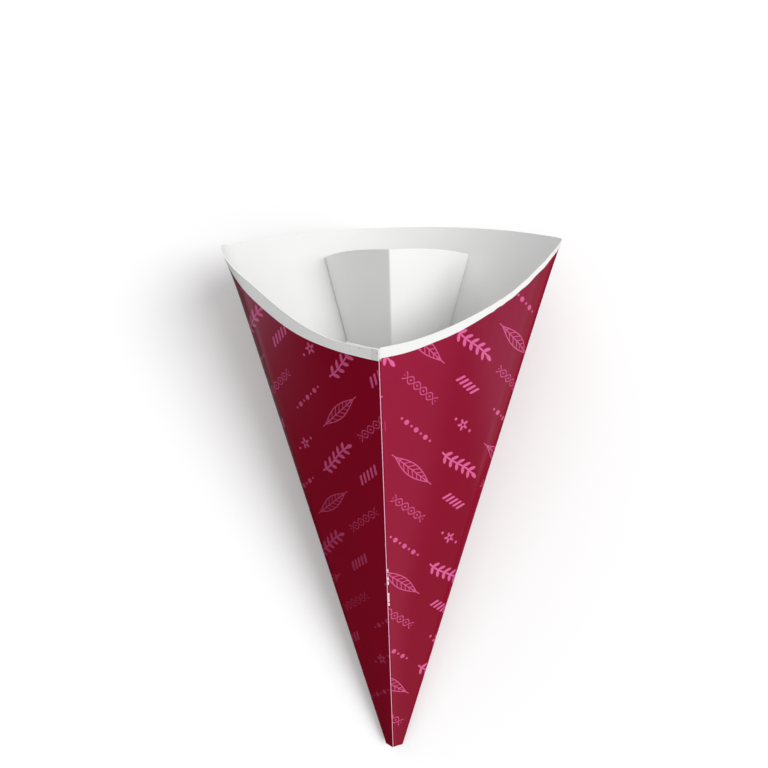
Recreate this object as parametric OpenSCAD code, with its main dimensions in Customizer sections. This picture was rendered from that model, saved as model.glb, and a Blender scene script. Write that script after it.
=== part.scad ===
// Folded paperboard cone for fries, with a glued divider that holds a sauce cup.
// Each part is drawn about the sharp point where the cone's sides would meet:
// X to the right, Y along the cone to its mouth, Z to the front crease.
// It is then laid down on its round back, with the front crease on top.

/* [Mouth] */
// Distance between the two pointed side corners of the mouth
mouth_w = 141; // [115:1:170]
// Distance of the front crease ahead of the side corners, in the plane of the corners
crease_depth = 55; // [40:1:70]
// Distance of the round back behind the side corners, in the same plane
back_depth = 50; // [40:1:62]
// Radius of the soft bend at each side, in the same plane
side_r = 19; // [10:1:24]

/* [Sheet] */
// Slant length from the sharp point to each side corner
corner_slant = 245; // [205:1:295]
// Slant length to the low middle of the front rim
front_slant = 198; // [165:1:240]
// Slant length to the high middle of the back rim
back_slant = 253; // [210:1:305]
// Slant length of the sharp point that is cut away
tip_cut = 12; // [8:1:20]
// Thickness of the board
board = 0.4; // [0.25:0.05:0.6]
// How late the front rim turns up towards the side corners, as a power
rim_power = 2.7; // [2:0.1:3.5]
// Extra height of the front rim on its way out, as a share
rim_lift = 0.3; // [0:0.05:0.5]

/* [Glue seam] */
// Width of the glue flap at the front rim, behind the left panel
flap_w = 15; // [8:1:18]

/* [Sauce divider] */
// Distance between the divider's glued folds at its top edge
divider_w = 69; // [56:1:84]
// Distance between the divider's glued folds at its foot
divider_foot_w = 39; // [32:1:48]
// Height of the divider along the cone
divider_h = 55; // [44:1:66]
// Distance of the divider's top edge below the side corners
divider_drop = 3; // [0:1:12]
// Angle between each half of the divider and its middle line
divider_angle = 41; // [36:1:48]
// Forward bow of each half of the divider
divider_bow = 2.5; // [0:0.5:4]
// Rise of the top edge in the middle of each half
divider_arch = 1.2; // [0:0.1:2]
// Width of each glue tab
tab_w = 12; // [8:1:14]
// Thickness of the layer of glue under the tabs
glue = 0.15; // [0.1:0.05:0.3]

/* [Hidden] */

// Steps along each stretch of the wall
flap_steps = 4;
panel_steps = 20;
bend_steps = 10;
back_steps = 20;
face_steps = 8;
tab_steps = 6;

// The section in the plane of the side corners, as [x, z] points
corner_y = sqrt(pow(corner_slant, 2) - pow(mouth_w / 2, 2));
crease = [0, crease_depth];
bend_c = [mouth_w / 2 - side_r, 0];
bend_from_crease = bend_c - crease;
panel_len = sqrt(pow(norm(bend_from_crease), 2) - pow(side_r, 2));
panel_dir = atan2(bend_from_crease.y, bend_from_crease.x) + asin(side_r / norm(bend_from_crease));
panel_normal = panel_dir + 90;
back_r = (pow(bend_c.x, 2) + pow(back_depth, 2) - pow(side_r, 2)) / (2 * (back_depth - side_r));
back_c = [0, back_r - back_depth];
bend_end = atan2(bend_c.y - back_c.y, bend_c.x - back_c.x);
// The middle of the back is half a step past the last point of each half
back_step = (bend_end + 90) / (back_steps + 0.5);

// The glue flap's edge, as a share of the flat panel
front_scale = front_slant / norm([crease.y, corner_y]);
flap_share = flap_w / (panel_len * front_scale);
step_share = board / (panel_len * front_scale);

function polar(c, r, a) = c + r * [cos(a), sin(a)];
function total(v, n) = n < 0 ? 0 : v[n] + total(v, n - 1);

// Each entry is [point, direction of the outward normal], from the crease round to the back
shares = concat(
    [for (i = [0:flap_steps]) flap_share * i / flap_steps],
    [for (i = [0:panel_steps - 1])
        flap_share + step_share + (1 - flap_share - step_share) * i / panel_steps]);
panel_half = [for (s = shares) [polar(crease, s * panel_len, panel_dir), panel_normal]];
bend_half = concat(
    [for (i = [0:bend_steps - 1]) panel_normal * (1 - i / bend_steps)],
    [for (i = [0:bend_steps - 1]) bend_end * i / bend_steps]);
half = concat(
    panel_half,
    [for (a = bend_half) [polar(bend_c, side_r, a), a]],
    [for (i = [0:back_steps]) let (a = bend_end - i * back_step) [polar(back_c, back_r, a), a]]);
half_n = len(half);
corner_i = len(panel_half) + bend_steps;

// Unit direction of the straight line from the sharp point through a section point
function ray(p) = [p.x, corner_y, p.y] / norm([p.x, corner_y, p.y]);
// Outward unit normal of the wall along that line
function wall_normal(p, a) = let (v = [cos(a), -(cos(a) * p.x + sin(a) * p.y) / corner_y, sin(a)]) v / norm(v);
function angle_between(u, v) = 2 * asin(norm(u - v) / 2);

// Angle of each line in the flat blank, counted from the crease
rays = [for (h = half) ray(h[0])];
turns = [for (i = [0:half_n - 2]) angle_between(rays[i], rays[i + 1])];
blank = [for (i = [0:half_n - 1]) total(turns, i - 1)];
back_middle = blank[half_n - 1] + angle_between(rays[half_n - 1], ray([0, -back_depth]));

// Slant length of the rim on each line
function front_rise(t) = pow(t, rim_power) * (1 + rim_lift * (1 - pow(t, 5)));
function rim(i) = i <= corner_i
    ? front_slant + (corner_slant - front_slant) * front_rise(blank[i] / blank[corner_i])
    : corner_slant + (back_slant - corner_slant)
        * sin(90 * (blank[i] - blank[corner_i]) / (back_middle - blank[corner_i]));

// The left panel rises by one board, to lie on the glue flap
panel_n = len(panel_half);
function panel_offset(i) = i > panel_n ? 0
    : i <= flap_steps + 1 ? board
    : board * (panel_n - i) / (panel_n - flap_steps - 1);
function left_inner(i) = i <= flap_steps ? 0 : panel_offset(i);

function mirrored(v) = [-v.x, v.y, v.z];
function reversed(v) = [for (i = [len(v) - 1:-1:0]) v[i]];

// Each wall line is [direction, normal, slant of rim, inner offset, outer offset]
right_lines = [for (i = [0:half_n - 1])
    [rays[i], wall_normal(half[i][0], half[i][1]), rim(i), 0, board]];
left_lines = [for (i = [0:half_n - 1])
    [mirrored(rays[i]), mirrored(right_lines[i][1]), rim(i), left_inner(i), panel_offset(i) + board]];
lines = concat(right_lines, reversed(left_lines));
line_n = len(lines);

// The outer skin meets the crease in a mitre, and the left panel's cut edge stands on it
right_normal = right_lines[0][1];
left_normal = left_lines[0][1];
mitre = (right_normal + left_normal) * board / (1 + right_normal * left_normal);
function skin(i) = i == 0 ? mitre
    : i == line_n - 1 ? mitre + left_normal * board
    : lines[i][1] * lines[i][4];
function lining(i) = lines[i][1] * lines[i][3];
function outer_ring(slants) = [for (i = [0:line_n - 1]) lines[i][0] * slants[i] + skin(i)];
function inner_ring(slants) = [for (i = [0:line_n - 2]) lines[i][0] * slants[i] + lining(i)];

rim_slants = [for (l = lines) l[2]];
tip_slants = [for (l = lines) tip_cut];
sleeve_points = concat(outer_ring(rim_slants), inner_ring(rim_slants),
    outer_ring(tip_slants), inner_ring(tip_slants));

// Point numbers: the inner ring closes on its own first point
ring_n = 2 * line_n - 1;
function out(i) = i;
function inn(i) = line_n + i % (line_n - 1);
function low(i) = ring_n + i;
sleeve_faces = concat(
    [for (i = [0:line_n - 2]) [out(i), out(i + 1), low(out(i + 1)), low(out(i))]],
    [for (i = [0:line_n - 2]) [inn(i + 1), inn(i), low(inn(i)), low(inn(i + 1))]],
    [for (i = [0:line_n - 2]) [out(i + 1), out(i), inn(i), inn(i + 1)]],
    [for (i = [0:line_n - 2]) [low(out(i)), low(out(i + 1)), low(inn(i + 1)), low(inn(i))]],
    [[out(line_n - 1), out(0), low(out(0)), low(out(line_n - 1))],
        [out(0), out(line_n - 1), inn(0)],
        [low(out(line_n - 1)), low(out(0)), low(inn(0))]]);

// Lying down: the flat strip in the middle of the back is turned level and set on Z = 0
rest_angle = atan2(back_r * cos(back_step / 2) - back_c.y, corner_y);
function turned(p) = [p.x,
    p.y * cos(rest_angle) - p.z * sin(rest_angle),
    p.y * sin(rest_angle) + p.z * cos(rest_angle)];
laid_points = [for (p = sleeve_points) turned(p)];
laid_x = [for (p = laid_points) p.x];
laid_y = [for (p = laid_points) p.y];
laid_z = [for (p = laid_points) p.z];
middle = [(min(laid_x) + max(laid_x)) / 2, (min(laid_y) + max(laid_y)) / 2, min(laid_z)];

module lay_down() {
    translate(-middle) rotate([rest_angle, 0, 0]) children();
}

// The divider's path at one height, from the crease to the end of the right tab, as [x, z]
function divider_half(y, fold_w) = let (
    s = y / corner_y,
    r = back_r * s - glue,
    c = back_c * s,
    fold = [fold_w / 2, c.y - sqrt(pow(r, 2) - pow(fold_w / 2, 2))],
    front = [0, fold.y + fold.x / tan(divider_angle)],
    bow = divider_bow * [cos(divider_angle), sin(divider_angle)],
    fold_a = atan2(fold.y - c.y, fold.x - c.x),
    tab_a = tab_w / r * 180 / PI)
    concat(
        [for (i = [0:face_steps]) let (t = i / face_steps)
            front + (fold - front) * t + bow * 4 * t * (1 - t)],
        [for (i = [1:tab_steps]) polar(c, r, fold_a - tab_a * i / tab_steps)]);

function divider_path(y, fold_w) = let (h = divider_half(y, fold_w))
    concat([for (i = [len(h) - 1:-1:1]) [-h[i].x, h[i].y]], h);

// The same path moved one board inward, with mitred folds
function side_normal(a, b) = [b.y - a.y, a.x - b.x] / norm(b - a);
function inset(path, i) = let (
    n1 = side_normal(path[max(i - 1, 0)], path[max(i, 1)]),
    last = len(path) - 1,
    n2 = side_normal(path[min(i, last - 1)], path[min(i + 1, last)]))
    path[i] + board * (n1 + n2) / (1 + n1 * n2);

path_n = 2 * (face_steps + tab_steps) + 1;
function top_rise(i) = let (t = abs(i - (path_n - 1) / 2) / face_steps)
    t < 1 ? divider_arch * 4 * t * (1 - t) : 0;
divider_top = corner_y - divider_drop;
divider_foot = divider_top - divider_h;
top_path = divider_path(divider_top, divider_w);
foot_path = divider_path(divider_foot, divider_foot_w);
divider_points = concat(
    [for (i = [0:path_n - 1]) [top_path[i].x, divider_top + top_rise(i), top_path[i].y]],
    [for (i = [0:path_n - 1]) let (p = inset(top_path, i)) [p.x, divider_top + top_rise(i), p.y]],
    [for (i = [0:path_n - 1]) [foot_path[i].x, divider_foot, foot_path[i].y]],
    [for (i = [0:path_n - 1]) let (p = inset(foot_path, i)) [p.x, divider_foot, p.y]]);

function front_top(i) = i;
function back_top(i) = path_n + i;
function front_foot(i) = 2 * path_n + i;
function back_foot(i) = 3 * path_n + i;
divider_faces = concat(
    [for (i = [0:path_n - 2]) [front_top(i), front_top(i + 1), front_foot(i + 1), front_foot(i)]],
    [for (i = [0:path_n - 2]) [back_top(i), back_foot(i), back_foot(i + 1), back_top(i + 1)]],
    [for (i = [0:path_n - 2]) [front_top(i), back_top(i), back_top(i + 1), front_top(i + 1)]],
    [for (i = [0:path_n - 2]) [front_foot(i), front_foot(i + 1), back_foot(i + 1), back_foot(i)]],
    [[front_top(0), front_foot(0), back_foot(0), back_top(0)],
        [front_top(path_n - 1), back_top(path_n - 1), back_foot(path_n - 1), front_foot(path_n - 1)]]);

module cone_sleeve() {
    color("#9c1b3c") lay_down() polyhedron(sleeve_points, sleeve_faces);
}

module sauce_divider() {
    color("#f4f3f1") lay_down() polyhedron(divider_points, divider_faces);
}

cone_sleeve();
sauce_divider();
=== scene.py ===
"""Folded paperboard cone for fries, with a glued divider, lying on its round back.

Every sheet is built from the same section as the CAD part. The cone's own frame has its origin at the
sharp point where the sides would meet, X to the right, Y along the cone to its mouth and Z to the front
crease. The board is printed flat, so its pattern is drawn in the flat blank, whose Y runs along the crease
from that same point.
"""

import math
from dataclasses import dataclass, field, replace

import bmesh
import bpy
import numpy as np
from mathutils import Matrix, Vector, noise


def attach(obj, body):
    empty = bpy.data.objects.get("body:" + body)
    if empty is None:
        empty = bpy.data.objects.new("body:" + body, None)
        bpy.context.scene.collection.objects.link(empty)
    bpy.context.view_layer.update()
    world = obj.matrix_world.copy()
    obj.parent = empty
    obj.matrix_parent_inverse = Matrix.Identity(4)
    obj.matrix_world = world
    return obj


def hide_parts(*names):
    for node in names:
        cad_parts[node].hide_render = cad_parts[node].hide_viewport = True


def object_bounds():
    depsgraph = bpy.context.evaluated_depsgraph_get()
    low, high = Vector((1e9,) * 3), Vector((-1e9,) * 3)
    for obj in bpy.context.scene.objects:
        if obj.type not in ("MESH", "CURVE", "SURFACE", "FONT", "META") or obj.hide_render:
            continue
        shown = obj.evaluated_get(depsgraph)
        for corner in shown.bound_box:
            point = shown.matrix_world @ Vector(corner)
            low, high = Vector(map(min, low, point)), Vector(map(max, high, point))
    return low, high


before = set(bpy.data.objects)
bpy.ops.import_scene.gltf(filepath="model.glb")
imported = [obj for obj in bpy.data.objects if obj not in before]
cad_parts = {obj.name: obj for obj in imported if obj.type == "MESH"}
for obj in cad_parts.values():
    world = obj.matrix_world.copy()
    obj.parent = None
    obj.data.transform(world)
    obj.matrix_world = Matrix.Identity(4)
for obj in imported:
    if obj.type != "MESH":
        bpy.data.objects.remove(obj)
cad_low, cad_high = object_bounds()

MM = 0.001

# The mouth, in the plane of its two side corners
MOUTH_W = 141 * MM
CREASE_DEPTH = 55 * MM
BACK_DEPTH = 50 * MM
SIDE_R = 19 * MM

# The sheet, as slant lengths from the sharp point
CORNER_SLANT = 245 * MM
FRONT_SLANT = 198 * MM
BACK_SLANT = 253 * MM
TIP_SLANT = 12 * MM
BOARD = 0.4 * MM
RIM_POWER = 2.7
RIM_LIFT = 0.3
RIM_LIFT_POWER = 5
CUT_SOFT = 0.06 * MM
FOLD_R = 0.1 * MM

# The glue seam, where the left panel lies on the flap
FLAP_W = 15 * MM
FLAP_RISE = 0.5 * MM
GLUE = 0.03 * MM

# The sauce divider
DIVIDER_W = 69 * MM
DIVIDER_FOOT_W = 39 * MM
DIVIDER_H = 55 * MM
DIVIDER_DROP = 3 * MM
DIVIDER_ANGLE = math.radians(41)
DIVIDER_BOW = 2.5 * MM
DIVIDER_ARCH = 1.2 * MM
TAB_W = 12 * MM
TAB_GLUE = 0.15 * MM
DIVIDER_FOLD_R = 0.6 * MM

# How this one came out of cutting, folding and use. The right side's front rim has a line of its own: it
# starts higher, swells a little and has a shoulder before the corner. The corners stand out a little.
RIGHT_RISE = 0.4 * MM
RIGHT_POWER = 2.3
SWELL = 1.0 * MM
SWELL_AT = 0.45
SWELL_W = 0.3
SHOULDER = 0.135
SHOULDER_AT = 0.86
SHOULDER_W = 0.115
PANEL_BOW = 0.9 * MM
BOW_END = 0.82
BOW_FADE = 1.5
WAVE_HEIGHT = 0.25 * MM
WAVE_LENGTH = 60 * MM
RIPPLE_HEIGHT = 0.15 * MM
RIPPLE_CUT = 0.7 * MM
RIPPLE_LENGTH = 3.5 * MM
RIPPLE_DEPTH = 12 * MM
RIPPLE_RISE = (3 * MM, 9 * MM)
RIPPLE_FALL = (33.6 * MM, 42 * MM)
RIPPLE_SEED = 3.7
LEFT_FLARE = 1.8 * MM
RIGHT_FLARE = 0.8 * MM
FLARE_W = 0.13
FLARE_DEPTH = 8 * MM
BACK_DIP = 1.2 * MM
CORNER_WEAR = 0.5 * MM
CORNER_WEAR_W = 1.8 * MM

# Steps of the meshes. A crowding other than 1 sets them closer at one end.
FIRST_STEP = 0.3 * MM
PANEL_CROWDING = 1.2
FLAP_CROWDING = 0.8
ROW_CROWDING = 1.3
FLAP_STEPS = 6
FOLD_STEPS = 4
PANEL_STEPS = 60
BEND_STEPS = 18
BACK_STEPS = 36
WALL_ROWS = 80
BORDER_ROWS = 6
FACE_STEPS = 18
ROUND_STEPS = 5
TAB_STEPS = 6
DIVIDER_ROWS = 24
SHARP_ANGLE = math.radians(30)
TINY = 1e-12

# The white border under the rim. Its width changes over spans of the front rim, which runs from 0 at the
# crease to 1 at the corner. A place is the middle and the width of a hump.
BORDER_W = 3.95 * MM
BORDER_GAIN = 1.6 * MM
BORDER_GAIN_SPAN = (0.28, 0.68)
BORDER_LOSS = 2.6 * MM
BORDER_LOSS_SPAN = (0.76, 0.95)
BORDER_FOLD = 0.5 * MM
BORDER_FOLD_PLACE = (0, 0.12)
BORDER_RIGHT_LOSS = 2.0 * MM
BORDER_RIGHT_SPAN = (0.2, 0.82)
BORDER_STEP = 0.5 * MM
BORDER_STEP_PLACE = (0.28, 0.1)
BORDER_BACK = 3.4 * MM
BORDER_BACK_SPAN = (1, 1.2)

# The print, in millimetres of the flat blank
INK_EDGE = 0.04
MARK_COLUMN = 27.0
MARK_ROW = 13.2
ROW_SHIFT = 0.38

# Each surface's roughness and specular level
VARNISHED = (0.16, 1.0)
BARE = (0.5, 0.25)
MATT = (0.6, 0.3)
CUT_BOARD = (0.9, 0.2)
FLOOR_FINISH = (0.8, 0.3)
COAT = 0.2
COAT_ROUGHNESS = 0.12

# Noise over a surface, as patches to a millimetre and strength
BLOTCHES = (0.04, 0.08)
MOTTLE = (1.6, 0.06)
PAPER_BLOTCHES = (0.3, 0.04)
WHITE_BLOTCHES = (0.08, 0.03)
WHITE_MOTTLE = (1.5, 0.03)
EDGE_MOTTLE = (4.0, 0.2)
CHIP_ROUGHNESS = (1.8, 0.25)
FINE = 3
BUMPS = 2.0
BUMP_HEIGHT = 4e-6
WHITE_BUMPS = 3.0
WHITE_BUMP_HEIGHT = 6e-6

# Colours
INK = (0.210, 0.0028, 0.0155)
INK_SHEEN = (1.0, 0.02, 0.27)
MARKS = (0.63, 0.112, 0.285)
WHITE = (0.75, 0.75, 0.745)
INSIDE = (0.74, 0.74, 0.735)
DIVIDER = (0.82, 0.82, 0.815)
RAW_EDGE = (0.80, 0.79, 0.77)
INKED_EDGE = (0.82, 0.42, 0.55)
FLOOR = (0.9, 0.9, 0.9)
BACKDROP = (0.95, 0.95, 0.95)

# The camera, as fitted to the photograph's outlines
IMAGE_SIDE = 768
FOCAL_PX = 706.9
POINT_PX = (394.7, 766.5)
POINT_DISTANCE = 321.3 * MM
CAMERA_TURN = math.radians(-5.32)
CAMERA_LEAN = math.radians(6.38)
CAMERA_ROLL = math.radians(0.675)
SENSOR = 36.0
DEGREES = 180 / math.pi

# Values that follow
CORNER_Y = math.sqrt(CORNER_SLANT**2 - (MOUTH_W / 2) ** 2)
CREASE = Vector((0, CREASE_DEPTH))
BEND_C = Vector((MOUTH_W / 2 - SIDE_R, 0))
REST_ANGLE = math.atan2(BACK_DEPTH, CORNER_Y)
BACK_R = (BEND_C.x**2 + BACK_DEPTH**2 - SIDE_R**2) / (2 * (BACK_DEPTH - SIDE_R))
BACK_C = Vector((0, BACK_R - BACK_DEPTH))


def polar(centre, radius, angle):
    return centre + radius * Vector((math.cos(angle), math.sin(angle)))


def steps(count):
    return [i / count for i in range(count + 1)]


def smooth(value, low, high):
    """0 below low, 1 above high and a soft rise between them."""
    t = min(max((value - low) / (high - low), 0), 1)
    return t * t * (3 - 2 * t)


def crown(t):
    """0 at 0 and at 1, and 1 in the middle."""
    return 4 * t * (1 - t)


def hump(value, middle, width):
    return math.exp(-(((value - middle) / width) ** 2))


# The section of the right half, from the crease round to the middle of the back

FROM_CREASE = BEND_C - CREASE
PANEL_LEN = math.sqrt(FROM_CREASE.length**2 - SIDE_R**2)
PANEL_DIR = math.atan2(FROM_CREASE.y, FROM_CREASE.x) + math.asin(SIDE_R / FROM_CREASE.length)
PANEL_NORMAL = PANEL_DIR + math.pi / 2
BEND_END = math.atan2(BEND_C.y - BACK_C.y, BEND_C.x - BACK_C.x)


def ray(point):
    """Unit direction of the straight line from the sharp point through a point of the section."""
    return Vector((point.x, CORNER_Y, point.y)).normalized()


def wall_normal(point, angle):
    c, s = math.cos(angle), math.sin(angle)
    return Vector((c, -(c * point.x + s * point.y) / CORNER_Y, s)).normalized()


@dataclass
class Line:
    """One straight line of the wall, from the sharp point to the rim.

    share is its place on the flat panel, from 0 at the crease to 1 where the side begins to bend.
    """

    ray: Vector
    normal: Vector
    share: float = 1.0
    side: int = 1
    blank: float = 0.0
    rim: float = 0.0
    lift: float = 0.0
    shift: Vector = field(default_factory=Vector)

    def mirrored(self):
        flip = Vector((-1, 1, 1))
        return replace(self, ray=self.ray * flip, normal=self.normal * flip, side=-self.side)


def panel_line(share):
    point = polar(CREASE, PANEL_LEN * share, PANEL_DIR)
    return Line(ray(point), wall_normal(point, PANEL_NORMAL), share)


def arc_line(centre, radius, angle):
    point = polar(centre, radius, angle)
    return Line(ray(point), wall_normal(point, angle))


def half_section():
    """Lines of the right half: the panel without the crease itself, the side bend and the back."""
    start = FIRST_STEP / PANEL_LEN
    shares = [(i / PANEL_STEPS) ** PANEL_CROWDING for i in range(PANEL_STEPS)]
    panel = [panel_line(start + (1 - start) * share) for share in shares]
    upper = [arc_line(BEND_C, SIDE_R, PANEL_NORMAL * (1 - i / BEND_STEPS)) for i in range(BEND_STEPS)]
    lower = [arc_line(BEND_C, SIDE_R, BEND_END * i / BEND_STEPS) for i in range(BEND_STEPS)]
    turn = -math.pi / 2 - BEND_END
    back = [arc_line(BACK_C, BACK_R, BEND_END + turn * t) for t in steps(BACK_STEPS)]
    return panel, upper, lower, back


def angle_between(u, v):
    return 2 * math.asin(min((u - v).length / 2, 1))


CREASE_RAY = ray(CREASE)


def lay_in_blank(lines):
    """Gives each line its angle in the flat blank, counted from the crease."""
    angle, last = 0.0, CREASE_RAY
    for line in lines:
        angle += angle_between(line.ray, last)
        line.blank, last = angle, line.ray


def front_rise(t):
    return t**RIM_POWER * (1 + RIM_LIFT * (1 - t**RIM_LIFT_POWER))


def front_rim(angle, corner):
    return FRONT_SLANT + (CORNER_SLANT - FRONT_SLANT) * front_rise(angle / corner)


def back_rim(angle, corner, middle):
    t = (angle - corner) / (middle - corner)
    return CORNER_SLANT + (BACK_SLANT - BACK_DIP - CORNER_SLANT) * math.sin(math.pi / 2 * t)


def wall_half():
    """The right half's lines with their places in the blank and their rims."""
    panel, upper, lower, back = half_section()
    lines = panel + upper + lower + back
    lay_in_blank(lines)
    corner, middle = lower[0].blank, back[-1].blank
    for line in panel + upper:
        line.rim = front_rim(line.blank, corner)
    for line in lower + back:
        line.rim = back_rim(line.blank, corner, middle)
    return lines, len(panel), corner, middle


HALF, PANEL_N, CORNER_BLANK, MIDDLE_BLANK = wall_half()
END_BLANK = 2 * MIDDLE_BLANK
FLAP_SHARE = FLAP_W / (PANEL_LEN * FRONT_SLANT / math.hypot(CREASE_DEPTH, CORNER_Y))


def across(line):
    """A line's place in the blank: 0 at the front crease, 1 at the side corner and more over the back."""
    return min(abs(line.blank), END_BLANK - line.blank) / CORNER_BLANK


def ripple(line):
    """Small waves along the right side's front rim, from -1 to 1."""
    from_corner = (CORNER_BLANK - line.blank) * CORNER_SLANT
    if line.side < 0 or from_corner < 0:
        return 0.0
    along = smooth(from_corner, *RIPPLE_RISE) * (1 - smooth(from_corner, *RIPPLE_FALL))
    return noise.noise(Vector((from_corner / RIPPLE_LENGTH, RIPPLE_SEED, 0))) * along


def right_rim(t):
    start = FRONT_SLANT + RIGHT_RISE
    rise = t**RIGHT_POWER * (1 + SHOULDER * hump(t, SHOULDER_AT, SHOULDER_W))
    return start + (CORNER_SLANT - start) * min(rise, 1) + SWELL * hump(t, SWELL_AT, SWELL_W)


def right_lines():
    """The right half, with its own rim and its corner worn blunt."""
    lines = [replace(line) for line in HALF]
    for line in lines:
        t = across(line)
        if t < 1:
            line.rim = right_rim(t) + RIPPLE_CUT * ripple(line)
        line.rim -= CORNER_WEAR * hump(t, 1, CORNER_WEAR_W / (CORNER_BLANK * CORNER_SLANT))
    return lines


def fold_lines(left, right):
    """The rounded front fold, from the left panel's side to the right panel's."""
    middle = (left + right).normalized()
    half_turn = angle_between(middle, right)
    shift = -middle * FOLD_R / math.cos(half_turn)
    fold = []
    for t in steps(FOLD_STEPS):
        rim = FRONT_SLANT + RIGHT_RISE * t
        fold.append(Line(CREASE_RAY, left.slerp(right, t), 0, rim=rim, lift=FOLD_R, shift=shift))
    return fold


def flap_lines():
    """The glue flap behind the left panel, from its free edge, where its rim stands up, to the fold."""
    flap = []
    for i in range(FLAP_STEPS):
        line = panel_line(FLAP_SHARE * (1 - (i / FLAP_STEPS) ** FLAP_CROWDING)).mirrored()
        line.blank = -angle_between(line.ray, CREASE_RAY)
        line.rim = front_rim(-line.blank, CORNER_BLANK) + FLAP_RISE * line.share / FLAP_SHARE
        flap.append(line)
    return flap


def left_lines():
    """The left half, from the middle of the back to the raw edge that stands on the crease."""
    lines = [line.mirrored() for line in HALF[:-1]]
    flap_blank = angle_between(panel_line(FLAP_SHARE).ray, CREASE_RAY)
    bend_blank = HALF[PANEL_N].blank
    raised = BOARD + GLUE
    for line in lines[:PANEL_N]:
        line.lift = raised * (1 - smooth(line.blank, flap_blank, bend_blank))
    edge = panel_line(0).mirrored()
    edge.rim = FRONT_SLANT
    edge.lift = raised
    lines = [edge] + lines
    for line in lines:
        line.blank = END_BLANK - line.blank
    return lines[::-1]


def sleeve_lines():
    right = right_lines()
    left = left_lines()
    fold = fold_lines(left[-1].normal, right[0].normal)
    return flap_lines() + fold + right + left


def lay_down():
    """From the cone's own frame to the scene's, where it lies on its round back as the CAD part does."""
    place = Vector((0, cad_high.y - BACK_SLANT, BOARD))
    return Matrix.Translation(place) @ Matrix.Rotation(REST_ANGLE, 4, "X")


LAY_DOWN = lay_down()


# How far the board has moved off its true section, and the border's width


def panel_bulge(line, slant):
    """The flat panels' slight outward bow, which carries on into the bend, and their slow waves."""
    s, t = line.share, across(line) / BOW_END
    bow = PANEL_BOW * crown(t) * (1 - smooth(t, 1, BOW_FADE))
    place = Vector((line.side * s * PANEL_LEN, slant, 0)) / WAVE_LENGTH
    wave = WAVE_HEIGHT * noise.noise(place) * crown(s)
    return (bow + wave) * slant / CORNER_SLANT


def rim_ripple(line, slant):
    """How far the waves of the right side's front rim stand out."""
    return RIPPLE_HEIGHT * ripple(line) * math.exp(-(line.rim - slant) / RIPPLE_DEPTH)


def flare(line, slant):
    """The side corners stand out a little, the left one more."""
    reach = LEFT_FLARE if line.side < 0 else RIGHT_FLARE
    near = hump(across(line), 1, FLARE_W) * math.exp(-(line.rim - slant) / FLARE_DEPTH)
    return Vector((line.side * reach * near, 0, 0))


def border_width(line):
    """Width of the white border. The print came out a little askew, so it differs from side to side."""
    t = across(line)
    if line.side < 0:
        front = BORDER_W + BORDER_FOLD * hump(t, *BORDER_FOLD_PLACE)
        front += BORDER_GAIN * smooth(t, *BORDER_GAIN_SPAN)
        front -= BORDER_LOSS * smooth(t, *BORDER_LOSS_SPAN)
    else:
        front = BORDER_W - BORDER_STEP * hump(t, *BORDER_STEP_PLACE)
        front -= BORDER_RIGHT_LOSS * smooth(t, *BORDER_RIGHT_SPAN)
    return front + (BORDER_BACK - front) * smooth(t, *BORDER_BACK_SPAN)


# Meshes

# Places of a sheet's materials in its list
OUTER, INNER, CUT, BORDER = range(4)


def unit(v):
    return v / np.maximum(np.linalg.norm(v, axis=-1, keepdims=True), TINY)


def perimeter(lines, rows):
    """Grid places round the edge of a sheet, in order."""
    there = [(i, 0) for i in range(lines - 1)] + [(lines - 1, j) for j in range(rows - 1)]
    back = [(i, rows - 1) for i in range(lines - 1, 0, -1)] + [(0, j) for j in range(rows - 1, 0, -1)]
    return there + back


def inset_edge(grid, edge):
    """The grid with its outermost points drawn in by CUT_SOFT."""
    made = grid.copy()
    for i, j in edge:
        inner = grid[min(max(i, 1), grid.shape[0] - 2), min(max(j, 1), grid.shape[1] - 2)]
        made[i, j] += unit(inner - grid[i, j]) * CUT_SOFT
    return made


def grid_faces(lines, rows, start):
    corners = [start + i * rows + j for i in range(lines - 1) for j in range(rows - 1)]
    return [(k, k + rows, k + rows + 1, k + 1) for k in corners]


def strip_faces(first, second):
    """Faces between two closed rings of points."""
    n = len(first)
    return [(first[k], first[(k + 1) % n], second[(k + 1) % n], second[k]) for k in range(n)]


def sheet_points(outer, inner, blank):
    """The points of both sides and of the two rings round the cut edge, with their places in the blank."""
    edge = perimeter(*outer.shape[:2])
    at_edge = tuple(np.array(edge).T)
    inward = unit(inner[at_edge] - outer[at_edge]) * CUT_SOFT
    grids = [inset_edge(outer, edge).reshape(-1, 3), inset_edge(inner, edge).reshape(-1, 3)]
    rings = [outer[at_edge] + inward, inner[at_edge] - inward]
    pattern = [blank.reshape(-1, 3)] * 2 + [blank[at_edge]] * 2
    return np.concatenate(grids + rings), np.concatenate(pattern)


def sheet_faces(lines, rows, border_rows):
    """The faces of a sheet and the place of each one's material."""
    edge = perimeter(lines, rows)
    n, m = lines * rows, len(edge)
    outer_edge = [i * rows + j for i, j in edge]
    inner_edge = [n + k for k in outer_edge]
    ring_a = list(range(2 * n, 2 * n + m))
    ring_b = list(range(2 * n + m, 2 * n + 2 * m))
    front = grid_faces(lines, rows, 0)
    back = grid_faces(lines, rows, n)
    cut = strip_faces(outer_edge, ring_a) + strip_faces(ring_a, ring_b) + strip_faces(ring_b, inner_edge)
    wears = ([OUTER] * (rows - 1 - border_rows) + [BORDER] * border_rows) * (lines - 1)
    return front + back + cut, wears + [INNER] * len(back) + [CUT] * len(cut)


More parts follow.
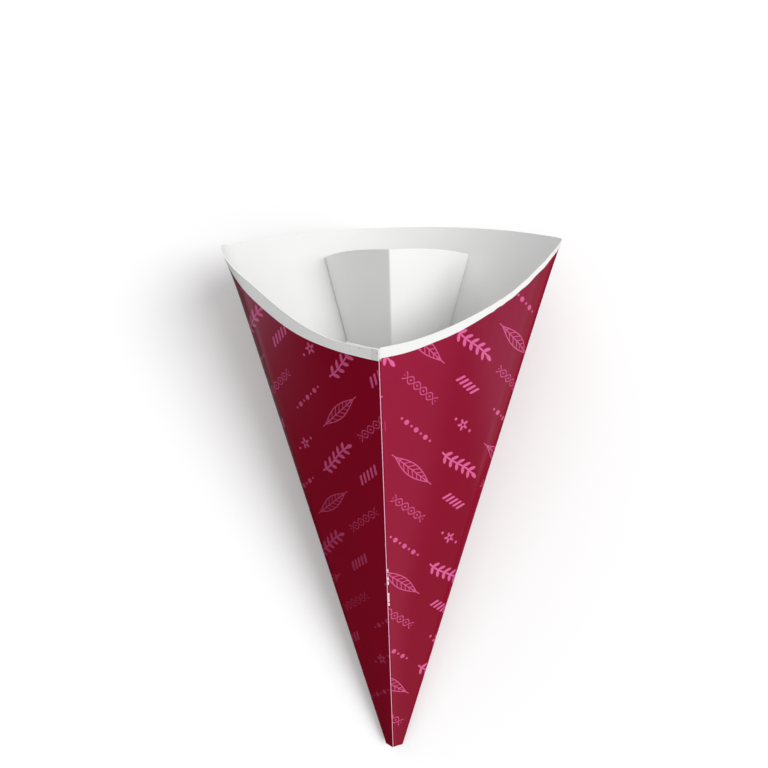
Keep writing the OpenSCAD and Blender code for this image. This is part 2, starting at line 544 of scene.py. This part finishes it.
def sheet_object(name, outer, inner, blank, materials, border_rows=0):
    """A thick sheet between two grids of points, with softened cut edges. The grid blank is for its pattern.

    The materials are those of the outer side, the inner side, the cut edge and the outer side's last rows.
    """
    places, pattern = sheet_points(outer, inner, blank)
    faces, wears = sheet_faces(*outer.shape[:2], border_rows)
    mesh = bpy.data.meshes.new(name)
    mesh.from_pydata([tuple(LAY_DOWN @ Vector(p)) for p in places], [], faces)
    for material in materials:
        mesh.materials.append(material)
    mesh.polygons.foreach_set("material_index", wears)
    attribute = mesh.attributes.new("blank", "FLOAT_VECTOR", "POINT")
    attribute.data.foreach_set("vector", pattern.astype(np.float32).ravel())
    turn_outward(mesh)
    mesh.polygons.foreach_set("use_smooth", [True] * len(mesh.polygons))
    mesh.set_sharp_from_angle(angle=SHARP_ANGLE)
    made = bpy.data.objects.new(name, mesh)
    bpy.context.scene.collection.objects.link(made)
    return made


def turn_outward(mesh):
    work = bmesh.new()
    work.from_mesh(mesh)
    bmesh.ops.recalc_face_normals(work, faces=work.faces)
    work.to_mesh(mesh)
    work.free()


def wall_grids(lines):
    """Outer and inner points of the wall, and each point's place in the blank.

    A place is X, Y and the distance from the ink's edge, in millimetres.
    """
    outer, inner, blank = [], [], []
    for k, line in enumerate(lines):
        ink_edge = line.rim - border_width(line) * math.sqrt(1 + rim_slope(lines, k) ** 2)
        for slant in row_slants(ink_edge, line.rim):
            off = line.lift + panel_bulge(line, slant) + rim_ripple(line, slant)
            base = line.ray * slant + line.shift + flare(line, slant) + line.normal * off
            outer.append(base + line.normal * BOARD)
            inner.append(base)
            x, y = slant * math.sin(line.blank), slant * math.cos(line.blank)
            blank.append(Vector((x, y, ink_edge - slant)) / MM)
    return [np.array(part, float).reshape(len(lines), -1, 3) for part in (outer, inner, blank)]


def row_slants(ink_edge, rim):
    """The rows of points along a line. One lies on the ink's edge, so the border has faces of its own."""
    below = [TIP_SLANT + (ink_edge - TIP_SLANT) * (1 - (1 - t) ** ROW_CROWDING) for t in steps(WALL_ROWS)]
    above = [ink_edge + (rim - ink_edge) * t for t in steps(BORDER_ROWS)]
    return below + above[1:]


def rim_slope(lines, k):
    """How steeply the rim climbs in the blank at a line."""
    a, b = lines[max(k - 1, 0)], lines[min(k + 1, len(lines) - 1)]
    turn = b.blank - a.blank
    return (b.rim - a.rim) / (turn * lines[k].rim) if turn else 0.0


# The divider's path


def divider_half(y, fold_w, arch):
    """The right half of the divider's front skin at one height, as face and tab points."""
    share = y / CORNER_Y
    radius = BACK_R * share - TAB_GLUE
    centre = BACK_C * share
    fold = Vector((fold_w / 2, centre.y - math.sqrt(radius**2 - (fold_w / 2) ** 2)))
    front = Vector((0, fold.y + fold.x / math.tan(DIVIDER_ANGLE)))
    bow = DIVIDER_BOW * Vector((math.cos(DIVIDER_ANGLE), math.sin(DIVIDER_ANGLE)))
    fold_angle = math.atan2(fold.y - centre.y, fold.x - centre.x)
    face = [front.lerp(fold, t) + bow * crown(t) for t in steps(FACE_STEPS)]
    tab = [polar(centre, radius, fold_angle - TAB_W / radius * t) for t in steps(TAB_STEPS)]
    face = [Vector((p.x, y + arch * crown(t), p.y)) for p, t in zip(face, steps(FACE_STEPS))]
    tab = [Vector((p.x, y, p.y)) for p in tab]
    return face, tab


def rounded(before, after):
    """Points that round the corner where one stretch ends and the next begins."""
    corner = before[-1]
    start = corner + (before[-2] - corner).normalized() * DIVIDER_FOLD_R
    end = corner + (after[1] - corner).normalized() * DIVIDER_FOLD_R
    return [start.lerp(corner, t).lerp(corner.lerp(end, t), t) for t in steps(ROUND_STEPS)]


def divider_path(y, fold_w, arch):
    """The divider's front skin at one height, from the end of the left tab to the end of the right one."""
    flip = Vector((-1, 1, 1))
    face, tab = divider_half(y, fold_w, arch)
    left_face, left_tab = [p * flip for p in face[::-1]], [p * flip for p in tab[::-1]]
    left = left_tab[:-1] + rounded(left_tab, left_face) + left_face[1:-1]
    right = face[1:-1] + rounded(face, tab) + tab[1:]
    return left + rounded(left_face, face) + right


def behind(path):
    """The same path one board thickness further back."""
    made = []
    for i, point in enumerate(path):
        a, b = path[max(i - 1, 0)], path[min(i + 1, len(path) - 1)]
        n1 = Vector((point.z - a.z, 0, a.x - point.x)) if i else Vector((b.z - point.z, 0, point.x - b.x))
        n2 = Vector((b.z - point.z, 0, point.x - b.x)) if i < len(path) - 1 else n1
        n1, n2 = n1.normalized(), n2.normalized()
        made.append(point + BOARD * (n1 + n2) / (1 + n1.dot(n2)))
    return made


def between(foot, top):
    return np.array([[a.lerp(b, t) for t in steps(DIVIDER_ROWS)] for a, b in zip(foot, top)], float)


def divider_grids():
    top_y = CORNER_Y - DIVIDER_DROP
    top = divider_path(top_y, DIVIDER_W, DIVIDER_ARCH)
    foot = divider_path(top_y - DIVIDER_H, DIVIDER_FOOT_W, 0)
    outer = between(foot, top)
    inner = between(behind(foot), behind(top))
    along = np.concatenate([[0], np.cumsum([(b - a).length for a, b in zip(top, top[1:])])])
    blank = np.zeros_like(outer)
    blank[..., 0] = along[:, None] / MM
    blank[..., 1] = outer[..., 1] / MM
    return outer, inner, blank


# Formulas over a surface, made of shader nodes


@dataclass
class Formula:
    """A number that varies over a surface. Arithmetic on it adds nodes to its material."""

    tree: bpy.types.NodeTree
    source: bpy.types.NodeSocket

    def __add__(self, other):
        return compute("ADD", self, other)

    def __sub__(self, other):
        return compute("SUBTRACT", self, other)

    def __rsub__(self, other):
        return compute("SUBTRACT", other, self)

    def __mul__(self, other):
        return compute("MULTIPLY", self, other)

    def __truediv__(self, other):
        return compute("DIVIDE", self, other)

    def __abs__(self):
        return compute("ABSOLUTE", self)

    __radd__ = __add__
    __rmul__ = __mul__


def feed(tree, socket, value):
    if isinstance(value, Formula):
        tree.links.new(value.source, socket)
    elif isinstance(value, bpy.types.NodeSocket):
        tree.links.new(value, socket)
    else:
        socket.default_value = value


def compute(operation, *values):
    tree = next(value.tree for value in values if isinstance(value, Formula))
    node = tree.nodes.new("ShaderNodeMath")
    node.operation = operation
    for socket, value in zip(node.inputs, values):
        feed(tree, socket, value)
    return Formula(tree, node.outputs[0])


def least(a, b):
    return compute("MINIMUM", a, b)


def most(a, b):
    return compute("MAXIMUM", a, b)


def sine(a):
    return compute("SINE", a)


def cosine(a):
    return compute("COSINE", a)


def length(a, b):
    return compute("SQRT", a * a + b * b)


def repeated(a, period):
    """The distance along a from the nearest whole period."""
    return a - compute("ROUND", a / period) * period


def soft_step(value, low, high):
    """0 at low and 1 at high, with a soft change between them."""
    node = value.tree.nodes.new("ShaderNodeMapRange")
    node.interpolation_type = "SMOOTHSTEP"
    for socket, amount in zip(node.inputs, (value, low, high, 0.0, 1.0)):
        feed(value.tree, socket, amount)
    return Formula(value.tree, node.outputs[0])


def speckle(place, scale, detail=2.0):
    """Soft noise from 0 to 1 over the blank, with about scale patches to a millimetre."""
    node = place.id_data.nodes.new("ShaderNodeTexNoise")
    node.inputs["Scale"].default_value = scale
    node.inputs["Detail"].default_value = detail
    place.id_data.links.new(place, node.inputs["Vector"])
    return Formula(place.id_data, node.outputs[0])


def mix(tree, share, first, second):
    """A colour that goes from first to second as share goes from 0 to 1."""
    node = tree.nodes.new("ShaderNodeMix")
    node.data_type = "RGBA"
    feed(tree, node.inputs["Factor"], share)
    for socket, colour in ((node.inputs[6], first), (node.inputs[7], second)):
        feed(tree, socket, (*colour, 1) if isinstance(colour, tuple) else colour)
    return node.outputs[2]


def shaded(tree, colour, amount):
    """A colour times a formula."""
    node = tree.nodes.new("ShaderNodeVectorMath")
    node.operation = "SCALE"
    feed(tree, node.inputs[0], colour)
    feed(tree, node.inputs["Scale"], amount)
    return node.outputs[0]


def added(tree, first, second):
    node = tree.nodes.new("ShaderNodeVectorMath")
    feed(tree, node.inputs[0], first)
    feed(tree, node.inputs[1], second)
    return node.outputs[0]


# The print's marks. Each takes its own place in millimetres and gives a distance that is negative on the
# mark. A factor whose name ends in EVEN keeps the width of a slanted line about the same all along.

SPRIG_HALF = 10.2
SPRIG_WAVE = (0.25, 0.7)
STEM_HALF_W = 0.38
LEAFLETS_HALF = 9.2
LEAFLET_PITCH = 3.6
LEAFLET_SHIFT = 0.9
LEAFLET_ANGLE = 50
LEAFLET_AT = 1.95
LEAFLET = (1.7, 0.72)
SPRIG_TIP_AT = 10.6
SPRIG_TIP = (1.7, 0.8)

BRAID_HALF = 9.24
BRAID_WAVE = (0.85, 1.55)
BRAID_EVEN = 0.8
BRAID_LINE = 0.2
BRAID_LOOP = 3.7
BRAID_DOT = 0.42

BEADS_HALF = 9.2
BEAD_PITCH = 5.6
LARGE_BEAD = 1.05
SMALL_BEAD = 0.52

BARS_HALF = 5.75
BAR_SLANT = 0.55
BAR_PITCH = 2.3
BAR_EVEN = 0.88
BAR_CORE = (0.1, 1.5)
BAR_R = 0.42

PETALS = 5
PETAL_WAVE = 0.8
PETAL_REACH = 1.75
PETAL_EVEN = 0.75
FLOWER_EYE = 0.6
FLOWER_DOT_AT = 4.6
FLOWER_DOT = 0.62

LEAF_HALF = 10
LEAF_RISE = 2.5
LEAF_EVEN = 0.95
LEAF_LINE = 0.2
STALK_HALF = 12
VEIN_PITCH = 2.6
VEIN_SLANT = 1.1
VEIN_EVEN = 0.67
VEIN_LINE = 0.17


def oval(u, v, half_length, half_width):
    return (length(u / half_length, v / half_width) - 1) * half_width


def turned(u, v, degrees):
    c, s = math.cos(math.radians(degrees)), math.sin(math.radians(degrees))
    return u * c + v * s, v * c - u * s


def sprig(u, v):
    """A stem with pairs of leaves and one at its tip."""
    turn, height = SPRIG_WAVE
    bent = v - sine(u * turn) * height
    stem = most(abs(bent) - STEM_HALF_W, abs(u) - SPRIG_HALF)
    a, b = turned(repeated(u, LEAFLET_PITCH) + LEAFLET_SHIFT, abs(bent), LEAFLET_ANGLE)
    leaves = most(oval(a - LEAFLET_AT, b, *LEAFLET), abs(u) - LEAFLETS_HALF)
    tip = oval(u - SPRIG_TIP_AT, bent, *SPRIG_TIP)
    return least(least(stem, leaves), tip)


def braid(u, v):
    """Two thin lines that cross, with a dot in each loop."""
    turn, height = BRAID_WAVE
    lines = abs(abs(v) - abs(sine(u * turn) * height)) * BRAID_EVEN - BRAID_LINE
    dots = length(repeated(u - BRAID_LOOP / 2, BRAID_LOOP), v) - BRAID_DOT
    return most(least(lines, dots), abs(u) - BRAID_HALF)


def beads(u, v):
    """A row of large and small dots."""
    large = length(repeated(u, BEAD_PITCH), v) - LARGE_BEAD
    small = length(repeated(u - BEAD_PITCH / 2, BEAD_PITCH), v) - SMALL_BEAD
    return most(least(large, small), abs(u) - BEADS_HALF)


def bars(u, v):
    """Slanted strokes side by side."""
    upright = u - v * BAR_SLANT
    core_w, core_l = BAR_CORE
    beside = abs(repeated(upright, BAR_PITCH)) * BAR_EVEN
    stroke = length(most(beside - core_w, 0.0), most(abs(v) - core_l, 0.0)) - BAR_R
    return most(stroke, abs(upright) - BARS_HALF)


def flower(u, v):
    """Five petals round an open middle, with a dot on each side."""
    around = compute("ARCTAN2", v, u)
    reach = length(u, v)
    petals = (reach - cosine(around * PETALS) * PETAL_WAVE - PETAL_REACH) * PETAL_EVEN
    head = most(petals, FLOWER_EYE - reach)
    dots = length(abs(u) - FLOWER_DOT_AT, v) - FLOWER_DOT
    return least(head, dots)


def leaf(u, v):
    """The thin outline of a long leaf with its veins."""
    reach = cosine(u * (math.pi / 2 / LEAF_HALF)) * LEAF_RISE
    outline = abs(abs(v) - reach) * LEAF_EVEN - LEAF_LINE
    beside = abs(repeated(u - abs(v) * VEIN_SLANT, VEIN_PITCH)) * VEIN_EVEN
    veins = most(beside - VEIN_LINE, abs(v) - reach)
    blade = most(least(outline, veins), abs(u) - LEAF_HALF)
    return least(blade, most(abs(v) - LEAF_LINE, abs(u) - STALK_HALF))


# Each kind with how strongly it is printed
MARK_KINDS = [(sprig, 1.0), (braid, 0.7), (flower, 0.9), (leaf, 0.8), (bars, 1.0), (beads, 0.85)]
KIND_STEP = 2
KIND_TOLERANCE = 0.1


def printed_marks(x, y):
    """How strongly each place is printed: 0 between the marks, whose rows slope at 45 degrees."""
    diagonal = math.sqrt(0.5)
    row_place = (x + y) * (diagonal / MARK_ROW)
    row = compute("FLOOR", row_place)
    column_place = (x - y) * (diagonal / MARK_COLUMN) + row * ROW_SHIFT
    column = compute("FLOOR", column_place)
    u = (column_place - column - 0.5) * MARK_COLUMN
    v = (row_place - row - 0.5) * MARK_ROW
    kind = compute("FLOORED_MODULO", column + row * KIND_STEP, float(len(MARK_KINDS)))
    total = None
    for k, (mark, strength) in enumerate(MARK_KINDS):
        chosen = compute("COMPARE", kind, float(k), KIND_TOLERANCE)
        drawn = chosen * soft_step(mark(u, v), INK_EDGE, -INK_EDGE) * strength
        total = drawn if total is None else total + drawn
    return total


# Wear, and painted shade by the seam, by the distance from the crease and along it in millimetres

CHIPS = [(104.5, 0.05), (100.6, 0.15), (98.6, 0.1), (93.0, 0.2), (91.6, 0.12), (90.1, 0.16), (88.2, 0.2)]
CHIP_HALF = 0.7
SMUDGES = [(0.16, 196.8, 0.15), (8.7, 197.3, 0.3), (13.0, 195.4, 0.22)]
SMUDGE_SHADE = 0.35
INK_SPOT = (0.76, 196.4, 0.24)
SPOT_EDGE = (1.3, 0.5)
STREAK_AT = (0.9, 167.7)
STREAK = (2.2, 0.12)
STREAK_STRENGTH = 0.6
# Painted shade of the corner's denting: the grey over it and the darker lines of its walls
DENT_AT = 3.0
DENT_EDGE = 0.1
DENT_WALL = (0.3, 0.05)
DENT_PAINTED_SHADE = 0.12
DENT_WALL_PAINTED_SHADE = 0.2
SCRATCH_AT = (6, 195.9)
SCRATCH_ANGLE = 28.9
SCRATCH_HALF = 3.2
SCRATCH_WALL = (0.16, 0.02)
SCRATCH_SHADE = 0.1
# Painted shade on the ink beside the left panel's raw edge, where the fold shades it: its span from the edge
# and its strength
SEAM_SHADE_SPAN = (1.0, 0.2)
PAINTED_SEAM_SHADE = 0.2
INKED_SPAN = (0.5, 0.2)

# Painted shade: how much the marks are dimmed on the left side, which lies in shade, how much of it they
# regain towards the rim, and over which slants.
# The change from side to side is in the middle of the back, over BACK_BLEND millimetres each way.
LEFT_MARK_SHADE = 0.75
LEFT_RETURN = 0.45
LEFT_RETURN_SPAN = (80, 180)
BACK_BLEND = 15


def spot(u, v, place):
    at_u, at_v, radius = place
    far, near = SPOT_EDGE
    return soft_step(length(u - at_u, v - at_v), radius * far, radius * near)


def mark_strength_and_shade(x, y, slant):
    """Full on the right, dimmed on the left as painted shade and most there towards the tip."""
    left = soft_step(x - y, -BACK_BLEND, BACK_BLEND)
    return 1 - left * (LEFT_MARK_SHADE - soft_step(slant, *LEFT_RETURN_SPAN) * LEFT_RETURN)


def crease_chips(x, y, roughness):
    """Flecks of bare board where the ink has cracked off the right side of the front fold."""
    chips = None
    for slant, width in CHIPS:
        chip = oval(y - slant, x, CHIP_HALF, width) + roughness
        chips = chip if chips is None else least(chips, chip)
    return soft_step(chips, INK_EDGE, -INK_EDGE)


def crease_streak(x, y):
    """A thin pink line where the ink has split beside the fold."""
    at_x, at_y = STREAK_AT
    return soft_step(oval(y - at_y, x - at_x, *STREAK), INK_EDGE, -INK_EDGE) * STREAK_STRENGTH


def seam_wear_and_shade(seam, slant):
    """Darker places on the left border by the seam: painted shade of the corner's denting and of its walls,
    and real wear in a scratch and smudges.
    """
    dent_shade = soft_step(seam, DENT_AT + DENT_EDGE, DENT_AT - DENT_EDGE) * DENT_PAINTED_SHADE
    dent_wall_shade = soft_step(abs(seam - DENT_AT), *DENT_WALL) * DENT_WALL_PAINTED_SHADE
    at_seam, at_slant = SCRATCH_AT
    u, v = turned(seam - at_seam, slant - at_slant, SCRATCH_ANGLE)
    scratch = soft_step(most(abs(v), abs(u) - SCRATCH_HALF), *SCRATCH_WALL) * SCRATCH_SHADE
    total = dent_shade + dent_wall_shade + scratch
    for place in SMUDGES:
        total = total + spot(seam, slant, place) * SMUDGE_SHADE
    return total


# Materials


def new_material(name, roughness, specular):
    material = bpy.data.materials.new(name)
    material.use_nodes = True
    tree = material.node_tree
    shader = tree.nodes["Principled BSDF"]
    shader.inputs["Roughness"].default_value = roughness
    shader.inputs["Specular IOR Level"].default_value = specular
    return material, tree, shader


def blank_place(tree):
    """The surface's place in the flat blank: X, Y and the distance from the ink's edge."""
    attribute = tree.nodes.new("ShaderNodeAttribute")
    attribute.attribute_name = "blank"
    return attribute.outputs["Vector"]


def three_parts(tree, vector):
    parts = tree.nodes.new("ShaderNodeSeparateXYZ")
    tree.links.new(vector, parts.inputs[0])
    return [Formula(tree, socket) for socket in parts.outputs]


def grain(place, kind, detail=2.0):
    """Noise of a kind that is given as its scale and its strength."""
    scale, strength = kind
    return speckle(place, scale, detail) * strength


def centred(noises, *kinds):
    """A shade that varies around 1 by the sum of noises of some kinds."""
    return noises + (1 - sum(kind[1] for kind in kinds) / 2)


def from_seam(x, y):
    """Distance from the left panel's raw edge and along it, in the blank."""
    return turned(y, x, math.degrees(END_BLANK) - 90)


def add_bump(tree, shader, height, depth):
    bump = tree.nodes.new("ShaderNodeBump")
    bump.inputs["Distance"].default_value = depth
    feed(tree, bump.inputs["Height"], height)
    tree.links.new(bump.outputs["Normal"], shader.inputs["Normal"])


def printed_material():
    """Glossy crimson print with pink marks."""
    material, tree, shader = new_material("printed_side", *VARNISHED)
    shader.inputs["Specular Tint"].default_value = (*INK_SHEEN, 1)
    shader.inputs["Coat Weight"].default_value = COAT
    shader.inputs["Coat Roughness"].default_value = COAT_ROUGHNESS
    place = blank_place(tree)
    x, y = three_parts(tree, place)[:2]
    seam, slant = from_seam(x, y)
    tone = centred(grain(place, BLOTCHES) + grain(place, MOTTLE), BLOTCHES, MOTTLE)
    # Painted shade: the ink is darker within about a millimetre of the left panel's raw edge
    tone = tone - soft_step(seam, *SEAM_SHADE_SPAN) * PAINTED_SEAM_SHADE
    # The marks are dimmed on the left side and towards the tip as painted shade
    ink = shaded(tree, mix(tree, printed_marks(x, y) * mark_strength_and_shade(x, y, slant), INK, MARKS), tone)
    ink = mix(tree, crease_streak(x, y), ink, MARKS)
    roughness = centred(grain(place, CHIP_ROUGHNESS), CHIP_ROUGHNESS) - 1
    ink = mix(tree, crease_chips(x, y, roughness), ink, RAW_EDGE)
    tree.links.new(ink, shader.inputs["Base Color"])
    add_bump(tree, shader, speckle(place, BUMPS), BUMP_HEIGHT)
    return material


def border_material():
    """The outer side's smooth white board, bare along the rim, with its marks of use and a painted shade of
    denting at the seam.
    """
    material, tree, shader = new_material("border", *BARE)
    place = blank_place(tree)
    x, y = three_parts(tree, place)[:2]
    seam, slant = from_seam(x, y)
    # The seam's darker places are real wear (a scratch, smudges) and painted shade (the corner's denting)
    tone = centred(grain(place, PAPER_BLOTCHES), PAPER_BLOTCHES) - seam_wear_and_shade(seam, slant)
    paper = shaded(tree, WHITE, tone)
    tree.links.new(mix(tree, spot(seam, slant, INK_SPOT), paper, MARKS), shader.inputs["Base Color"])
    add_bump(tree, shader, speckle(place, BUMPS), BUMP_HEIGHT)
    return material


def white_material(name, white):
    """Plain white board."""
    material, tree, shader = new_material(name, *MATT)
    place = blank_place(tree)
    noises = grain(place, WHITE_BLOTCHES) + grain(place, WHITE_MOTTLE, FINE)
    tone = centred(noises, WHITE_BLOTCHES, WHITE_MOTTLE)
    tree.links.new(shaded(tree, white, tone), shader.inputs["Base Color"])
    add_bump(tree, shader, speckle(place, WHITE_BUMPS, FINE), WHITE_BUMP_HEIGHT)
    return material


def edge_material():
    """The board's cut edge, pink where ink runs down to it."""
    material, tree, shader = new_material("cut_edge", *CUT_BOARD)
    place = blank_place(tree)
    x, y, inside = three_parts(tree, place)
    seam, slant = from_seam(x, y)
    inked = soft_step(seam, *INKED_SPAN) * soft_step(inside, -INK_EDGE, INK_EDGE)
    tone = centred(grain(place, EDGE_MOTTLE, FINE), EDGE_MOTTLE)
    colour = shaded(tree, mix(tree, inked, RAW_EDGE, INKED_EDGE), tone)
    tree.links.new(colour, shader.inputs["Base Color"])
    return material


def floor_material():
    material, tree, shader = new_material("floor", *FLOOR_FINISH)
    shader.inputs["Base Color"].default_value = (*FLOOR, 1)
    return material


def add_piece(name, grids, materials, node, border_rows=0):
    piece = sheet_object(name, *grids, materials, border_rows)
    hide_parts(node)
    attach(piece, "root")


# Camera, light and floor


def add_camera():
    camera = bpy.data.objects.new("camera", bpy.data.cameras.new("camera"))
    camera.data.sensor_width = SENSOR
    camera.data.lens = FOCAL_PX / IMAGE_SIDE * SENSOR
    camera.data.clip_start = 1 * MM
    turn = Matrix.Rotation(CAMERA_TURN, 4, "Y")
    lean = Matrix.Rotation(CAMERA_LEAN, 4, "X")
    roll = Matrix.Rotation(CAMERA_ROLL, 4, "Z")
    middle = IMAGE_SIDE / 2
    right = (POINT_PX[0] - middle) / FOCAL_PX
    down = (POINT_PX[1] - middle) / FOCAL_PX
    point = Vector((right, -down, -1)) * POINT_DISTANCE
    to_camera = Matrix.Translation(point) @ roll @ lean @ turn
    camera.matrix_world = LAY_DOWN @ to_camera.inverted()
    bpy.context.scene.collection.objects.link(camera)
    bpy.context.scene.camera = camera


def add_floor():
    """A wide pale floor. Reflections pass it by and show the room's lower half instead."""
    mesh = bpy.data.meshes.new("floor")
    far = FLOOR_REACH
    mesh.from_pydata([(-far, -far, 0), (far, -far, 0), (far, far, 0), (-far, far, 0)], [], [(0, 1, 2, 3)])
    mesh.materials.append(floor_material())
    floor = bpy.data.objects.new("floor", mesh)
    floor.visible_glossy = False
    bpy.context.scene.collection.objects.link(floor)


def add_lamp(name, power, width, towards):
    """A distant light that shines from a direction. Its width in degrees makes it soft."""
    light = bpy.data.lights.new(name, "SUN")
    light.energy = power
    light.angle = math.radians(width)
    lamp = bpy.data.objects.new(name, light)
    lamp.matrix_world = Vector(towards).to_track_quat("Z", "Y").to_matrix().to_4x4()
    bpy.context.scene.collection.objects.link(lamp)


# The main light, as soft as a large window, and a weaker one from the mouth's side for the shaded inside
KEY = ("key", 1.9, 35, (0.65, 0.05, 0.76))
FILL = ("fill", 1.1, 60, (-0.4, 0.9, 0.2))
FLOOR_REACH = 4.0

# How bright the room is by the height of a direction, from -1 straight down to 1 straight up
ROOM = [(-1.0, 0.0), (0.3, 0.0), (0.5, 0.5), (1.0, 0.8)]

# Bright parts of the room, which show in the varnish, with their spans in degrees of turn and of height. The
# wall and its window are pale. A cool glow lights each side's bend.
WALL_GLOW = 0.28
WALL_TURN = (5, 120, 10)
WALL_TOP = (60, 30)
WINDOW_GLOW = 0.65
WINDOW_TURN = (25, 72, 4)
WINDOW_HEIGHT = (-4, 16, 1.5)
WINDOW_SLANT = 0.3
PALE_FOOT = (-25, 5)
RIGHT_GLOW = 1.0
RIGHT_TURN = (57.5, 110, 1.5)
RIGHT_SLANTS = (0.55, -0.3)
RIGHT_TOP = (20, 8)
RIGHT_FALLS = ((-20, 8), (-55, 0))
LEFT_GLOW = 1.35
LEFT_SHARP_TURN = (-70, -78)
LEFT_SHARP_SHARE = 0.8
LEFT_SOFT_TURN = (-62, -72)
LEFT_END = (-124, -116)
LEFT_TOP = (8, -2)
LEFT_FALL = (-32, 0)
LEFT_REST = 0.1
COOL = (0.42, 1.0, 0.95)

# What the table throws back of the cone's own red
TABLE_GLOW = 0.42
TABLE_TOP = (0, -40)
TABLE_FOOT = (-80, -44)
WARM = (1.0, 0.07, 0.2)


def within(value, low, high, soft):
    """1 between low and high and 0 outside, with soft changes."""
    return soft_step(value, low - soft, low + soft) * soft_step(value, high + soft, high - soft)


def by_height(tree, z):
    """The room's brightness by height alone, as ROOM gives it."""
    ramp = tree.nodes.new("ShaderNodeValToRGB")
    stops = ramp.color_ramp.elements
    stops.remove(stops[1])
    for height, glow in ROOM:
        stop = stops.new((height + 1) / 2)
        stop.color = (glow, glow, glow, 1)
    stops.remove(stops[0])
    feed(tree, ramp.inputs[0], z * 0.5 + 0.5)
    return Formula(tree, ramp.outputs[0])


def bright_parts(x, y, z):
    """How bright its pale, cool and warm parts are by direction.

    Turn is counted in degrees from the cone's tip towards the right, and height from the horizon.
    """
    turn = compute("ARCTAN2", x, y * -1) * DEGREES
    height = compute("ARCSINE", z) * DEGREES
    wall = within(turn, *WALL_TURN) * soft_step(height, *WALL_TOP)
    window = within(turn, *WINDOW_TURN) * within(height - turn * WINDOW_SLANT, *WINDOW_HEIGHT)
    pale = (wall * WALL_GLOW + window * WINDOW_GLOW) * soft_step(height, *PALE_FOOT)
    cool = right_glow(turn, height) * RIGHT_GLOW + left_glow(turn, height) * LEFT_GLOW
    warm = within(turn, *WALL_TURN) * soft_step(height, *TABLE_TOP) * soft_step(height, *TABLE_FOOT)
    return pale, cool, warm * TABLE_GLOW


def right_glow(turn, height):
    above, below = RIGHT_SLANTS
    glow = within(turn - most(height * above, height * below), *RIGHT_TURN) * soft_step(height, *RIGHT_TOP)
    steep, slow = RIGHT_FALLS
    return glow * (soft_step(height, *steep) * 0.5 + soft_step(height, *slow) * 0.5)


def left_glow(turn, height):
    sharp = soft_step(turn, *LEFT_SHARP_TURN) * LEFT_SHARP_SHARE
    soft = soft_step(turn, *LEFT_SOFT_TURN) * (1 - LEFT_SHARP_SHARE)
    glow = (sharp + soft) * soft_step(turn, *LEFT_END) * soft_step(height, *LEFT_TOP)
    return glow * (soft_step(height, *LEFT_FALL) * (1 - LEFT_REST) + LEFT_REST)


def add_world():
    """A room with a pale ceiling and a few bright parts. The camera sees a plain pale backdrop instead."""
    world = bpy.data.worlds.new("studio")
    world.use_nodes = True
    tree = world.node_tree
    direction = tree.nodes.new("ShaderNodeTexCoord").outputs["Generated"]
    x, y, z = three_parts(tree, direction)
    rays = tree.nodes.new("ShaderNodeLightPath")
    mirrored = Formula(tree, rays.outputs["Is Glossy Ray"])
    seen = Formula(tree, rays.outputs["Is Camera Ray"])
    pale, cool, warm = bright_parts(x, y, z)
    glow = shaded(tree, (1.0, 1.0, 1.0), by_height(tree, z) + pale)
    glow = added(tree, glow, shaded(tree, COOL, cool * mirrored))
    glow = added(tree, glow, shaded(tree, WARM, warm * mirrored))
    colour = mix(tree, seen, glow, BACKDROP)
    tree.links.new(colour, tree.nodes["Background"].inputs["Color"])
    bpy.context.scene.world = world


add_camera()
CUT_EDGE = edge_material()
PRINTED_BOARD = [printed_material(), white_material("white_side", INSIDE), CUT_EDGE, border_material()]
DIVIDER_BOARD = [white_material("divider_board", DIVIDER)] * 2 + [CUT_EDGE]
WALL = wall_grids(sleeve_lines())
add_piece("fry_cone_sleeve", WALL, PRINTED_BOARD, "cone_sleeve", BORDER_ROWS)
add_piece("fry_cone_divider", divider_grids(), DIVIDER_BOARD, "sauce_divider")
add_floor()
add_lamp(*KEY)
add_lamp(*FILL)
add_world()
bpy.context.scene.view_settings.view_transform = "Standard"
